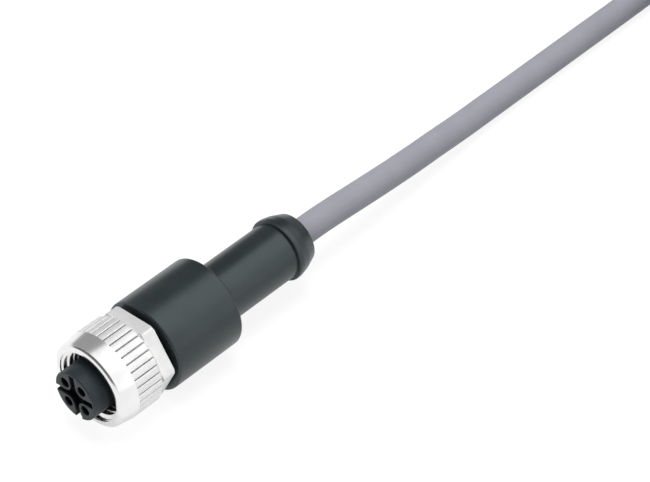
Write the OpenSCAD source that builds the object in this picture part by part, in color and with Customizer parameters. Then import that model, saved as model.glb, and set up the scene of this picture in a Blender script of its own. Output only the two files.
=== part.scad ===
// Straight female M12 cable connector: turning nut, lobed contact insert, moulded grip and cable.
// The connector's axis is the Y axis. The nut's front plane is at y = 0 and the cable leaves towards +Y.
// Lengths along the axis are measured from the nut's front plane, and the nose stands out in front of it.

/* [Thread] */
// Radius of the crests of the nut's internal thread
thread_minor_r = 5.46; // [5.4:0.01:5.6]
// Radius of the roots of the nut's internal thread
thread_major_r = 6; // [5.9:0.01:6.1]
// Length of the thread behind its lead-in
thread_len = 6.2; // [5:0.1:6.6]

/* [Coupling nut] */
// Length of the nut
nut_len = 10.6; // [10.3:0.1:11]
// Outer radius of the nut at its front rim
nut_rim_r = 7.2; // [7:0.05:7.4]
// Outer radius of the smooth front band where the ribs start
nut_band_r = 7.5; // [7.4:0.05:7.55]
// Length of the smooth front band
nut_band_len = 3.3; // [2.5:0.1:3.6]
// Rounding of the nut's front edge
nut_edge_r = 0.25; // [0.1:0.05:0.4]
// Width of one rib, which is also twice its crown radius
rib_w = 1; // [0.8:0.02:1.04]
// Length of one rib, with its round ends
rib_len = 4.6; // [3:0.1:4.9]
// Number of ribs round the nut
rib_count = 36; // [30:1:36]
// Radius of the ground that the ribs stand on
rib_ground_r = 7.26; // [7.2:0.01:7.3]
// Height of the ribs over that ground
rib_h = 0.34; // [0.25:0.01:0.4]
// Width across the flats of the rear hexagon
hex_af = 13.3; // [13:0.1:14]
// Radius over the hexagon's rounded corners
hex_corner_r = 7.4; // [7.3:0.01:7.5]
// Length of the rear hexagon
hex_len = 2.3; // [1.8:0.1:2.5]
// Chamfer behind the hexagon's corners
hex_chamfer = 0.4; // [0.2:0.05:0.6]
// Angle of the first hexagon corner about the axis
hex_turn = 6; // [0:1:59]
// Thickness of the nut's inner collar, which pulls on the insert's flange
nut_collar_t = 1.3; // [1:0.1:1.4]
// Radius of the hole in the nut's inner collar
nut_collar_r = 4.95; // [4.9:0.01:5]

/* [Contact carrier] */
// Radius of the insert's nose
nose_r = 4.2; // [4.1:0.01:4.25]
// Length of the nose in front of the nut
nose_out = 2.6; // [1.6:0.1:3]
// Chamfer round the nose's front edge
nose_chamfer = 0.15; // [0.05:0.05:0.25]
// Distance of the contacts from the axis
contact_ring_r = 2.55; // [2.5:0.01:2.6]
// Turn of the insert about the axis
insert_turn = 8; // [0:1:20]
// Depth of the cross-shaped recess between the lobes
recess_depth = 1; // [0.5:0.1:1.4]
// Width of the recess's arms
arm_w = 1.1; // [0.8:0.05:1.3]
// Thickness of the rim that closes the arms
arm_rim = 0.35; // [0.2:0.05:0.6]
// Width of the keyway
key_w = 1.5; // [1:0.05:1.6]
// Depth of the keyway in the nose
key_depth = 0.9; // [0.5:0.05:1]
// Chamfer at the mouths of the contacts' holes
mouth_chamfer = 0.08; // [0.04:0.02:0.2]
// Depth at which each contact starts in its hole
contact_depth = 0.9; // [0.5:0.05:1.2]
// Radius of the insert's flange in front of the nut's collar
flange_r = 5.3; // [5.2:0.01:5.4]
// Length of the flange
flange_len = 1.9; // [1.5:0.1:2.1]
// Play of the nut between the flange and its collar
nut_play = 0.4; // [0.2:0.05:0.6]
// Running clearance between the nut's collar and the insert's shank
running_gap = 0.08; // [0.04:0.01:0.1]
// Length of the shank behind the flange
shank_len = 6.6; // [5.6:0.1:7]

/* [Sealing ring] */
// Diameter of the sealing ring's section
seal_d = 1.3; // [1.1:0.05:1.4]
// Depth of the seal's groove in the nose
seal_groove = 0.45; // [0.3:0.05:0.6]

/* [Contacts] */
// Outer radius of a contact's socket
socket_r = 0.82; // [0.78:0.01:0.84]
// Bore radius of a contact's socket
socket_bore_r = 0.53; // [0.52:0.01:0.55]
// Depth of the socket's bore
socket_depth = 7; // [6:0.1:8]
// Width of the slots between the socket's tines
tine_slot = 0.25; // [0.15:0.05:0.3]
// Length of the socket's tines
tine_len = 4.5; // [3:0.1:5]
// Length of the socket, up to its collar
socket_len = 10; // [9:0.1:11]
// Radius of the contact's collar
collar_r = 1; // [0.95:0.01:1.05]
// Length of the contact's collar
collar_len = 1.5; // [1:0.1:2]
// Length of the crimp barrel behind the collar
barrel_len = 7.2; // [6.6:0.1:8]
// Depth of the wire bore in the crimp barrel
crimp_depth = 4; // [3:0.1:5]

/* [Grip] */
// Largest radius of the grip, which rests on the ground
grip_r = 7.7; // [7.65:0.05:8.5]
// Gap between the nut's rear face and the grip
grip_gap = 0.8; // [0.5:0.05:1.2]
// Length of the grip's wide body
grip_len = 13.3; // [11:0.1:16]
// Rounding of the grip's rear edge
grip_edge_r = 0.5; // [0.2:0.05:1]
// Chamfer of the grip's front edge
grip_chamfer = 0.15; // [0.05:0.05:0.4]
// Radius of the neck
neck_r = 4.84; // [4.6:0.01:5]
// Radius of the fillet between the grip and the neck
neck_fillet = 1; // [0.5:0.05:1.4]
// Distance from the grip's rear edge to the end collar
neck_len = 14.5; // [12:0.1:18]
// Largest radius of the end collar
end_collar_r = 5.42; // [5.2:0.01:5.8]
// Length of the end collar
end_collar_len = 5; // [4:0.1:6]
// Rounding of the end collar's front edge
end_edge_r = 0.25; // [0.1:0.05:0.4]
// Length from the end collar's front edge to its dome
end_band_len = 1.3; // [0.8:0.1:2]
// Radius of that dome, seen from the side
end_dome_r = 4; // [3:0.5:6]
// Radius of the end collar's rear face
end_face_r = 4.3; // [4:0.05:4.6]

/* [Inner mould] */
// Radius of the inner mould's front body
inner_r = 5.2; // [5:0.05:5.6]
// Length of the inner mould's front body
inner_body_len = 5.5; // [4.5:0.1:6]
// Radius of the inner mould's tail, round the cable
inner_tail_r = 3.3; // [3:0.05:3.6]
// Length of the inner mould, with its tapered tail
inner_len = 12; // [11:0.1:13]

/* [Cable] */
// Diameter of the cable's jacket
cable_d = 4.6; // [4.2:0.1:5]
// Diameter of one core's insulation
core_d = 1.2; // [1.1:0.02:1.24]
// Diameter of one stranded conductor
wire_d = 0.74; // [0.6:0.02:0.8]
// Distance of the cores from the cable's axis
core_ring_r = 0.9; // [0.88:0.01:0.95]
// Length of jacket inside the inner mould
jacket_grip = 4; // [2:0.1:5]

/* [Cable hank and stripped end] */
// Number of layers in the hank
hank_rows = 5; // [4:1:5]
// Radius of the bends in the hank's inner turns
hank_bend_r = 13.8; // [13.8:0.1:15]
// Length of the hank's straight sides
hank_run = 62; // [60:1:70]
// Thickness of the tie round the hank
tie_t = 0.6; // [0.4:0.1:1]
// Width of the tie
tie_w = 4; // [3:0.5:5]
// Length of jacket that lies on the hank's inner turns
tail_len = 36; // [34:0.5:40]
// Length of each core past the jacket's end
lead_len = 24; // [16:0.5:26]
// Length of bare conductor at each core's end
tip_len = 5; // [3:0.5:8]

/* [Hidden] */
$fn = 64;

// Clearance between pieces that are moulded or pressed together
skin = 0.02;
// Overlap that keeps a cut open at the face where it starts
eps = 0.01;

// Stations along the axis
collar_front = nut_len - nut_collar_t;
flange_back = collar_front - nut_play;
flange_front = flange_back - flange_len;
seal_room = seal_d + 0.2;
seal_front = flange_front - seal_room;
shank_r = nut_collar_r - running_gap;
shank_back = flange_back + shank_len;
nut_cavity_r = thread_major_r + 0.05;
lead_in = nut_cavity_r - thread_minor_r;
hex_front = nut_len - hex_len;
rib_top_r = rib_ground_r + rib_h;
grip_front = nut_len + grip_gap;
grip_back = grip_front + grip_len;
neck_back = grip_back + neck_len;
exit_y = neck_back + end_collar_len;
socket_front = contact_depth - nose_out;
socket_back = socket_front + socket_len;
barrel_back = socket_back + collar_len + barrel_len;
inner_back = shank_back + inner_len;
jacket_front = inner_back - jacket_grip;
floor_z = -grip_r;

// Where one contact stands, and the radius of the lobe round it
contact_xy = contact_ring_r * cos(45);
lobe_r = contact_xy - arm_w / 2;

// Groove that locks the shank in the moulding behind it
lock_depth = 0.6;
lock_w = 1.2;
lock_front = grip_front + 1.2;

// Places of the four cores, as angles about the axis from the keyway
core_angles = [45, 135, 225, 315];

// Route of the free cable on the ground, from the grip to the hank
route = [
    [0, exit_y, 0], [0, 49, 0], [0, 54, -0.3], [-0.1, 60, -0.9], [-0.4, 66, -1.7], [-0.9, 73, -2.7],
    [-1.4, 79, -3.5], [-1.9, 86, -4.4], [-2.4, 93, -5.1], [-2.6, 100, -5.4], [-2.6, 108, -5.4],
    [-2.6, 118, -5.4], [-2.5, 128, -5.3], [-2.4, 137, -5.1], [-2.4, 146, -4.8], [-2.4, 154, -4.8]
];
route_sides = 10;
hank_entry = route[len(route) - 1];
hank_inner_r = hank_bend_r - cable_d / 2;
hank_outer_r = hank_inner_r + 2 * cable_d;
hank_x = hank_entry[0] + hank_outer_r - cable_d / 2;
hank_step = floor_z + tie_t + (hank_rows - 1) * cable_d;
hank_high = hank_step + cable_d;
lead_pitch = core_d + 0.1;
twist_r = 0.8;
twist_len = 7;

// Lays a shape that is drawn upright along the connector's axis
module along_axis() {
    rotate([-90, 0, 0]) children();
}

// Turns a shape about the axis, with angles that grow from +X towards +Z
module turned(angle) {
    rotate([0, -angle, 0]) children();
}

// A quarter circle of a profile from one angle to another
function arc(x, y, r, from, to, steps = 6) =
    [for (i = [0:steps]) let (a = from + (to - from) * i / steps) [x + r * cos(a), y + r * sin(a)]];

// ---- Coupling nut ----

module nut_outline() {
    rotate_extrude() polygon(concat(
        [[0, 0]],
        arc(nut_rim_r - nut_edge_r, nut_edge_r, nut_edge_r, -90, 0),
        [
            [nut_band_r, nut_band_len - nut_edge_r], [nut_band_r - nut_edge_r, nut_band_len],
            [rib_ground_r, nut_band_len], [rib_ground_r, hex_front + eps], [0, hex_front + eps]
        ]
    ));
}

module rib() {
    crown = rib_w / 2;
    translate([rib_top_r - crown, 0, nut_band_len + crown]) {
        cylinder(r = crown, h = rib_len - rib_w, $fn = 24);
        sphere(r = crown, $fn = 24);
        translate([0, 0, rib_len - rib_w]) sphere(r = crown, $fn = 24);
    }
}

module nut_hexagon() {
    translate([0, 0, hex_front]) intersection() {
        rotate(-hex_turn) cylinder(d = hex_af / cos(30), h = hex_len, $fn = 6);
        rotate_extrude() polygon([
            [0, 0], [hex_corner_r - hex_chamfer / 2, 0], [hex_corner_r, hex_chamfer / 2],
            [hex_corner_r, hex_len - hex_chamfer], [hex_corner_r - hex_chamfer, hex_len], [0, hex_len]
        ]);
    }
}

module nut_cavity() {
    relief_front = lead_in + thread_len;
    rotate_extrude() polygon([
        [0, -eps], [nut_cavity_r + eps, -eps], [thread_minor_r, lead_in], [thread_minor_r, relief_front],
        [nut_cavity_r, relief_front + lead_in], [nut_cavity_r, collar_front], [nut_collar_r, collar_front],
        [nut_collar_r, nut_len + eps], [0, nut_len + eps]
    ]);
}

module coupling_nut() {
    color("whitesmoke") along_axis() difference() {
        union() {
            nut_outline();
            nut_hexagon();
            for (i = [0:rib_count - 1]) rotate((i + 0.75) * 360 / rib_count) rib();
        }
        nut_cavity();
    }
}

// ---- Contact carrier ----

// One raised lobe round a contact, drawn in the first quadrant
module lobe() {
    reach = 2 * nose_r;
    translate([contact_xy, contact_xy]) circle(r = lobe_r);
    translate([contact_xy, arm_w / 2]) square(reach);
    translate([arm_w / 2, contact_xy]) square(reach);
}

// Cross-shaped recess: its arm on the left is open, and the one below opens into the keyway
module recess_plan() {
    difference() {
        union() {
            circle(r = nose_r - arm_rim);
            translate([-2 * nose_r, -arm_w / 2]) square([2 * nose_r, arm_w]);
        }
        for (i = [0:3]) rotate(90 * i) lobe();
    }
}

module carrier_outline() {
    groove_r = nose_r - seal_groove;
    rotate_extrude() polygon([
        [0, -nose_out], [nose_r - nose_chamfer, -nose_out], [nose_r, nose_chamfer - nose_out],
        [nose_r, seal_front], [groove_r, seal_front], [groove_r, flange_front], [flange_r, flange_front],
        [flange_r, flange_back], [shank_r, flange_back], [shank_r, lock_front],
        [shank_r - lock_depth, lock_front], [shank_r - lock_depth, lock_front + lock_w],
        [shank_r, lock_front + lock_w], [shank_r, shank_back], [0, shank_back]
    ]);
}

// Room for one contact, from its mouth in the lobe to the rear of the shank
module contact_room() {
    room_r = socket_r + skin;
    rotate_extrude($fn = 48) polygon([
        [0, -nose_out - eps], [room_r + mouth_chamfer + eps, -nose_out - eps],
        [room_r, -nose_out + mouth_chamfer], [room_r, socket_back - skin],
        [collar_r + skin, socket_back - skin], [collar_r + skin, shank_back + eps], [0, shank_back + eps]
    ]);
}

module contact_carrier() {
    color("dimgray") turned(insert_turn) along_axis() difference() {
        carrier_outline();
        translate([0, 0, -nose_out - eps]) linear_extrude(recess_depth + eps) recess_plan();
        translate([-key_w / 2, nose_r - key_depth, -nose_out - eps])
            cube([key_w, 2 * nose_r, nose_out + seal_front]);
        for (a = core_angles) rotate(a) translate([contact_ring_r, 0, 0]) contact_room();
    }
}

// ---- Contacts, cores and conductors ----

// Puts a piece of contact number i (0 to 3) at its place in the insert
module at_contact(i) {
    turned(insert_turn) along_axis() rotate(core_angles[i]) translate([contact_ring_r, 0, 0]) children();
}

module contact(i) {
    color("gold") at_contact(i) difference() {
        rotate_extrude($fn = 48) polygon([
            [socket_bore_r, socket_front], [socket_r, socket_front], [socket_r, socket_back],
            [collar_r, socket_back], [collar_r, socket_back + collar_len],
            [socket_r, socket_back + collar_len], [socket_r, barrel_back], [wire_d / 2 + skin, barrel_back],
            [wire_d / 2 + skin, barrel_back - crimp_depth], [0, barrel_back - crimp_depth],
            [0, socket_front + socket_depth], [socket_bore_r, socket_front + socket_depth]
        ]);
        translate([-2 * socket_r, -tine_slot / 2, socket_front - eps])
            cube([4 * socket_r, tine_slot, tine_len]);
    }
}

// Path of core number i, as a round bar of the radius r: out of the barrel, across to the cable and along it
module core_bar(i, r, front, back) {
    knee_r = 1.04 * r;
    bend_out = barrel_back + 0.8;
    bend_in = jacket_front - 0.6;
    run = [core_ring_r - contact_ring_r, 0, bend_in - bend_out];
    turned(insert_turn) along_axis() rotate(core_angles[i]) {
        translate([contact_ring_r, 0, front]) cylinder(r = r, h = bend_out - front, $fn = 32);
        translate([contact_ring_r, 0, bend_out]) {
            sphere(r = knee_r, $fn = 32);
            rotate([0, atan2(run[0], run[2]), 0]) cylinder(r = r, h = norm(run), $fn = 32);
        }
        translate([core_ring_r, 0, bend_in]) {
            sphere(r = knee_r, $fn = 32);
            cylinder(r = r, h = back - bend_in, $fn = 32);
        }
    }
}

module core(i, colour) {
    color(colour) difference() {
        core_bar(i, core_d / 2, barrel_back + skin, exit_y);
        core_bar(i, wire_d / 2 + skin, barrel_back - eps, exit_y + eps);
    }
}

module wire(i) {
    color("peru") core_bar(i, wire_d / 2, barrel_back - crimp_depth + skin, exit_y);
}

module cable_jacket() {
    color("silver") difference() {
        along_axis() translate([0, 0, jacket_front]) cylinder(d = cable_d, h = exit_y - jacket_front);
        for (i = [0:3]) core_bar(i, core_d / 2 + skin, barrel_back, exit_y + eps);
    }
}

module sealing_ring() {
    ring_r = nose_r - seal_groove + seal_d / 2 + skin;
    color("orangered") along_axis() translate([0, 0, flange_front - seal_d / 2 - skin])
        rotate_extrude() translate([ring_r, 0]) circle(d = seal_d, $fn = 32);
}

// ---- Mouldings ----

// Profile of the inner mould, grown by the clearance that its neighbour leaves
module inner_outline(grow) {
    front = shank_back + skin - grow;
    lock_at = shank_back + inner_body_len / 2;
    taper = 1.6;
    rotate_extrude() polygon([
        [0, front], [inner_r + grow, front], [inner_r + grow, lock_at - grow],
        [inner_r - lock_depth + grow, lock_at + grow], [inner_r - lock_depth + grow, lock_at + lock_w - grow],
        [inner_r + grow, lock_at + lock_w + grow], [inner_r + grow, shank_back + inner_body_len],
        [inner_tail_r + grow, shank_back + inner_body_len + taper], [inner_tail_r + grow, inner_back + grow],
        [0, inner_back + grow]
    ]);
}

module inner_mould() {
    color("darkslategray") difference() {
        along_axis() inner_outline(0);
        along_axis() translate([0, 0, jacket_front - skin]) cylinder(d = cable_d + 2 * skin, h = inner_len);
        for (i = [0:3]) {
            core_bar(i, core_d / 2 + skin, barrel_back, jacket_front + eps);
            at_contact(i) translate([0, 0, shank_back - eps])
                cylinder(r = socket_r + skin, h = barrel_back + 2 * skin - shank_back, $fn = 48);
        }
    }
}

module grip_outline() {
    fillet_y = grip_back + neck_fillet;
    rotate_extrude() polygon(concat(
        [[0, grip_front], [grip_r - grip_chamfer, grip_front], [grip_r, grip_front + grip_chamfer]],
        arc(grip_r - grip_edge_r, grip_back - grip_edge_r, grip_edge_r, 0, 80),
        arc(neck_r + neck_fillet, fillet_y, neck_fillet, 260, 180),
        [[neck_r, neck_back]],
        arc(end_collar_r - end_edge_r, neck_back + end_edge_r, end_edge_r, -80, 0),
        arc(end_collar_r - end_dome_r, neck_back + end_band_len, end_dome_r, 0, 20),
        [[end_face_r, exit_y], [0, exit_y]]
    ));
}

// Room in the grip for the insert's shank, with the ring that fills the shank's lock groove
module shank_room() {
    rotate_extrude() polygon([
        [0, grip_front - eps], [shank_r + skin, grip_front - eps], [shank_r + skin, lock_front + skin],
        [shank_r - lock_depth + skin, lock_front + skin],
        [shank_r - lock_depth + skin, lock_front + lock_w - skin],
        [shank_r + skin, lock_front + lock_w - skin], [shank_r + skin, shank_back + 2 * skin],
        [0, shank_back + 2 * skin]
    ]);
}

module grip() {
    color("darkslategray") along_axis() difference() {
        grip_outline();
        shank_room();
        inner_outline(skin);
        translate([0, 0, inner_back]) cylinder(d = cable_d + 2 * skin, h = exit_y);
    }
}

// ---- Free cable ----

function unit(v) = v / norm(v);

// Ring of points round the route at point i, square to the route there
function route_ring(i) =
    let (
        ahead = route[min(i + 1, len(route) - 1)],
        behind = route[max(i - 1, 0)],
        dir = unit(ahead - behind),
        side = unit(cross(dir, [0, 0, 1])),
        up = cross(side, dir)
    )
    [for (k = [0:route_sides - 1]) let (a = 360 * (k + 0.5) / route_sides)
        route[i] + cable_d / 2 * (cos(a) * side + sin(a) * up)];

module cable_run() {
    rings = len(route);
    n = route_sides;
    sides = [for (i = [0:rings - 2], k = [0:n - 1])
        [i * n + k, i * n + (k + 1) % n, (i + 1) * n + (k + 1) % n, (i + 1) * n + k]];
    start = [[for (k = [n - 1:-1:0]) k]];
    finish = [[for (k = [0:n - 1]) (rings - 1) * n + k]];
    color("silver") polyhedron([for (i = [0:rings - 1]) each route_ring(i)], concat(sides, start, finish));
}

module at_hank() {
    translate([hank_x, hank_entry[1], 0]) children();
}

// Oval round the hank's middle, whose two ends have the radius r
module hank_oval(r) {
    translate([-r, 0]) square([2 * r, hank_run]);
    for (end = [0, hank_run]) translate([0, end]) circle(r = r, $fn = 96);
}

// Solid of the hank's outer shape. The inner turns have one layer less and leave a step for the cable's end.
module cable_hank() {
    color("silver") at_hank() difference() {
        translate([0, 0, floor_z]) linear_extrude(hank_high - floor_z) hank_oval(hank_outer_r);
        translate([0, 0, floor_z - eps]) linear_extrude(hank_high - floor_z) hank_oval(hank_inner_r);
        translate([0, 0, hank_step]) linear_extrude(2 * cable_d) hank_oval(hank_inner_r + cable_d + 2 * skin);
        translate([-2 * hank_outer_r, (hank_run - tie_w) / 2 - skin, floor_z - eps])
            cube([4 * hank_outer_r, tie_w + 2 * skin, tie_t + skin + eps]);
    }
}

// Flat tie round both sides of the hank, with its twisted ends lying on top
module hank_tie() {
    width = 2 * hank_outer_r + 2 * skin;
    height = hank_high - floor_z - tie_t + skin;
    color("dimgray") at_hank() translate([0, hank_run / 2, floor_z]) {
        translate([-width / 2 - tie_t, -tie_w / 2, 0]) difference() {
            cube([width + 2 * tie_t, tie_w, height + 2 * tie_t]);
            translate([tie_t, -eps, tie_t]) cube([width, tie_w + 2 * eps, height]);
        }
        translate([hank_bend_r, -twist_len / 2, height + 2 * tie_t + twist_r - eps])
            rotate([-90, 0, 0]) cylinder(r = twist_r, h = twist_len, $fn = 24);
    }
}

// Straight round bar of the diameter d on the hank's step, from one distance along it for a length
module laid_bar(x, z, d, from, length) {
    at_hank() translate([x, from, z]) along_axis() cylinder(d = d, h = length, $fn = 24);
}

module cable_end() {
    color("silver") laid_bar(-hank_bend_r, hank_step + cable_d / 2 + skin, cable_d, 0, tail_len);
}

// Place across the hank at which lead i lies: the four make a bundle of two by two
function lead_x(i) = (i % 2 - 0.5) * lead_pitch - hank_bend_r;

// Height of lead i: two lie on the hank and the other two on top of them
function lead_z(i) = hank_step + core_d / 2 + skin + floor(i / 2) * lead_pitch;

module lead(i, colour) {
    color(colour) laid_bar(lead_x(i), lead_z(i), core_d, tail_len, lead_len - tip_len);
}

module tip(i) {
    color("peru") laid_bar(lead_x(i), lead_z(i), wire_d, tail_len + lead_len - tip_len, tip_len);
}

coupling_nut();
contact_carrier();
contact(0);  // contact_1
contact(1);  // contact_2
contact(2);  // contact_3
contact(3);  // contact_4
sealing_ring();
inner_mould();
grip();
cable_jacket();
core(0, "saddlebrown");  // core_brown
core(1, "white");  // core_white
core(2, "royalblue");  // core_blue
core(3, "black");  // core_black
wire(0);  // wire_brown
wire(1);  // wire_white
wire(2);  // wire_blue
wire(3);  // wire_black
cable_run();
cable_hank();
hank_tie();
cable_end();
lead(0, "saddlebrown");  // lead_brown
lead(1, "white");  // lead_white
lead(2, "royalblue");  // lead_blue
lead(3, "black");  // lead_black
tip(0);  // tip_brown
tip(1);  // tip_white
tip(2);  // tip_blue
tip(3);  // tip_black
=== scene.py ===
from math import cos, pi, radians, sin, sqrt, tan, tau

import bmesh
import bpy
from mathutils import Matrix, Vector


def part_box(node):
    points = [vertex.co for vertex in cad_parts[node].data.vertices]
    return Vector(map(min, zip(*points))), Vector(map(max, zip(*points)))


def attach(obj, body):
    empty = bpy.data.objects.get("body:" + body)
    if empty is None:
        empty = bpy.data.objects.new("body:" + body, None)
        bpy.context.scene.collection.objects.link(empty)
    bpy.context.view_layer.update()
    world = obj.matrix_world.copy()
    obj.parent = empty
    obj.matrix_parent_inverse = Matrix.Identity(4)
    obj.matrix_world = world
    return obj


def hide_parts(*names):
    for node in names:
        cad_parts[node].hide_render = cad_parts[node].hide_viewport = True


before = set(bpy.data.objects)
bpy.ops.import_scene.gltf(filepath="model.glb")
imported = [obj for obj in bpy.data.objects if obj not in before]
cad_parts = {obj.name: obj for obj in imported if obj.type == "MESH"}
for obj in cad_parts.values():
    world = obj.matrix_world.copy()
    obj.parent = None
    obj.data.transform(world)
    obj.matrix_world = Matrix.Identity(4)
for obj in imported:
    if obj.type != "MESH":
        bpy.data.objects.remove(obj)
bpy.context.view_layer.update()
scene = bpy.context.scene
scene.view_settings.view_transform = "Standard"

# ---- Camera ----
# It looks down on the mating face from the front right through a long lens, so that the connector lies in
# the lower left corner of the view and the cable leaves it at the upper right.

# Degrees round from the front and up from the ground, and the lens in millimetres
VIEW_AZIMUTH = 43.011
VIEW_ELEVATION = 42.987
VIEW_PLACE = (0.2062152, -0.1699515, 0.2763447)
FOCAL_LENGTH = 144.055
SENSOR_WIDTH = 36
NEAREST_SEEN = 0.01

lens = bpy.data.cameras.new("camera")
lens.lens = FOCAL_LENGTH
lens.sensor_width = SENSOR_WIDTH
lens.clip_start = NEAREST_SEEN
camera = bpy.data.objects.new("camera", lens)
camera.location = VIEW_PLACE
camera.rotation_euler = (radians(90 - VIEW_ELEVATION), 0, radians(VIEW_AZIMUTH))
scene.collection.objects.link(camera)
scene.camera = camera

# ---- Cable ----
# Round four-core cable with an extruded grey jacket. It leaves the grip along the connector's axis, sinks
# to the ground and is folded clockwise into an oval hank of two columns, where its end lies on top.

MM = 0.001
CABLE_R = 2.3 * MM
HANK_COLUMNS = 2
HANK_ROWS = 5
# Share of a turn in which a pass moves over to its next place
CHANGE = 1 / 8
STEPS_PER_TURN = 96
ROUTE_STEPS = 5
TAIL_LEN = 36 * MM
TAIL_STEPS = 8

route = [
    (0, 0.0442, 0), (0, 0.049, 0), (0, 0.054, -0.0003), (-0.0001, 0.060, -0.0009),
    (-0.0004, 0.066, -0.0017), (-0.0009, 0.073, -0.0027), (-0.0014, 0.079, -0.0035),
    (-0.0019, 0.086, -0.0044), (-0.0024, 0.093, -0.0051), (-0.0026, 0.100, -0.0054),
    (-0.0026, 0.108, -0.0054), (-0.0026, 0.118, -0.0054), (-0.0025, 0.128, -0.0053),
    (-0.0024, 0.137, -0.0051), (-0.0024, 0.146, -0.0048), (-0.0024, 0.154, -0.0048),
]

hank_low, hank_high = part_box("cable_hank")
hank_middle = (hank_low + hank_high) / 2
hank_r = (hank_high.x - hank_low.x) / 2
hank_run = hank_high.y - hank_low.y - 2 * hank_r


def column_r(column):
    """Radius of the bends in a column, 0 inside and 1 outside."""
    return hank_r - CABLE_R - 2 * CABLE_R * (HANK_COLUMNS - 1 - column)


def row_z(row):
    """Height of the turns in a row, from 0 at the ground up."""
    return hank_high.z - CABLE_R - 2 * CABLE_R * (HANK_ROWS - 1 - row)


def on_hank(turns, r, z):
    """Point of the hank after that many clockwise turns from where the cable comes in."""
    bend_share = pi * column_r(1) / (2 * hank_run + tau * column_r(1))
    run_share = 0.5 - bend_share
    half, share = divmod(turns % 1, 0.5)
    along = min(share / run_share, 1) - 0.5
    bend = pi * max(share - run_share, 0) / bend_share
    way = -1 if half else 1
    x = -r * cos(bend)
    y = hank_run * along + r * sin(bend)
    return Vector((hank_middle.x + way * x, hank_middle.y + way * y, z))


def mixed(a, b, share):
    return a + (b - a) * share


def eased(share):
    """A share from 0 to 1 with a smooth start and end."""
    share = min(max(share, 0), 1)
    return share * share * (3 - 2 * share)


def smooth_line(points, steps):
    """Points along the smooth curve through the given ones."""
    points = [Vector(p) for p in points]
    ends = [2 * points[0] - points[1], *points, 2 * points[-1] - points[-2]]
    line = []
    for before, here, ahead, after in zip(ends, ends[1:], ends[2:], ends[3:]):
        for k in range(steps):
            t = k / steps
            pull = (ahead - before) * t + (2 * before - 5 * here + 4 * ahead - after) * t * t
            line.append(here + (pull + (3 * (here - ahead) + after - before) * t ** 3) / 2)
    return line + [points[-1]]


def wound_line():
    """Points of the hank's turns: out and in by turns, and up a row after each two."""
    places = []
    for row in range(HANK_ROWS):
        columns = range(HANK_COLUMNS) if row % 2 else reversed(range(HANK_COLUMNS))
        places += [(column_r(column), row_z(row)) for column in columns]
    line, turned = [], 0
    for (r, z), (next_r, next_z) in zip(places, places[1:]):
        span = 1 - CHANGE if turned else 1
        steps = round(span * STEPS_PER_TURN)
        for k in range(steps):
            turn = span * k / steps
            share = eased((turn - span + CHANGE) / CHANGE)
            line.append(on_hank(turned + turn, mixed(r, next_r, share), mixed(z, next_z, share)))
        turned += span
    return line


tail_start = on_hank(0, column_r(0), row_z(HANK_ROWS - 1))
tail_end = tail_start + Vector((0, TAIL_LEN, 0))
tail_line = smooth_line((tail_start, tail_end), TAIL_STEPS)
cable_line = smooth_line(route, ROUTE_STEPS)[:-1] + wound_line() + tail_line


class Link:
    """An output of a node. Arithmetic on it adds Math nodes to its graph."""

    def __init__(self, graph, socket):
        self.graph = graph
        self.socket = socket

    def maths(self, operation, *others):
        terms = dict(enumerate((self, *others)))
        return self.graph.node("ShaderNodeMath", {"operation": operation}, terms)

    def __add__(self, other):
        return self.maths("ADD", other)

    def __sub__(self, other):
        return self.maths("SUBTRACT", other)

    def __rsub__(self, other):
        return self * -1 + other

    def __mul__(self, other):
        return self.maths("MULTIPLY", other)

    def __truediv__(self, other):
        return self.maths("DIVIDE", other)

    def __pow__(self, other):
        return self.maths("POWER", other)

    __radd__ = __add__
    __rmul__ = __mul__


class Graph:
    """A node tree that is built by expressions."""

    def __init__(self, tree):
        self.tree = tree
        tree.nodes.clear()

    def node(self, kind, settings=None, inputs=None, output=0):
        """Adds a node, sets it and joins its sockets, and returns one of its outputs."""
        made = self.tree.nodes.new(kind)
        for name, value in (settings or {}).items():
            setattr(made, name, value)
        for key, value in (inputs or {}).items():
            if isinstance(value, Link):
                self.tree.links.new(value.socket, made.inputs[key])
            else:
                made.inputs[key].default_value = value
        return Link(self, made.outputs[output]) if made.outputs else made

    def split(self, vector):
        x = self.node("ShaderNodeSeparateXYZ", inputs={0: vector})
        outputs = x.socket.node.outputs
        return [Link(self, outputs[axis]) for axis in "XYZ"]

    def joined(self, x, y, z):
        return self.node("ShaderNodeCombineXYZ", inputs={"X": x, "Y": y, "Z": z})


# Heights of a noise between which one tone fades into the other
PATCH_EDGES = (0.35, 0.65)


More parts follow.
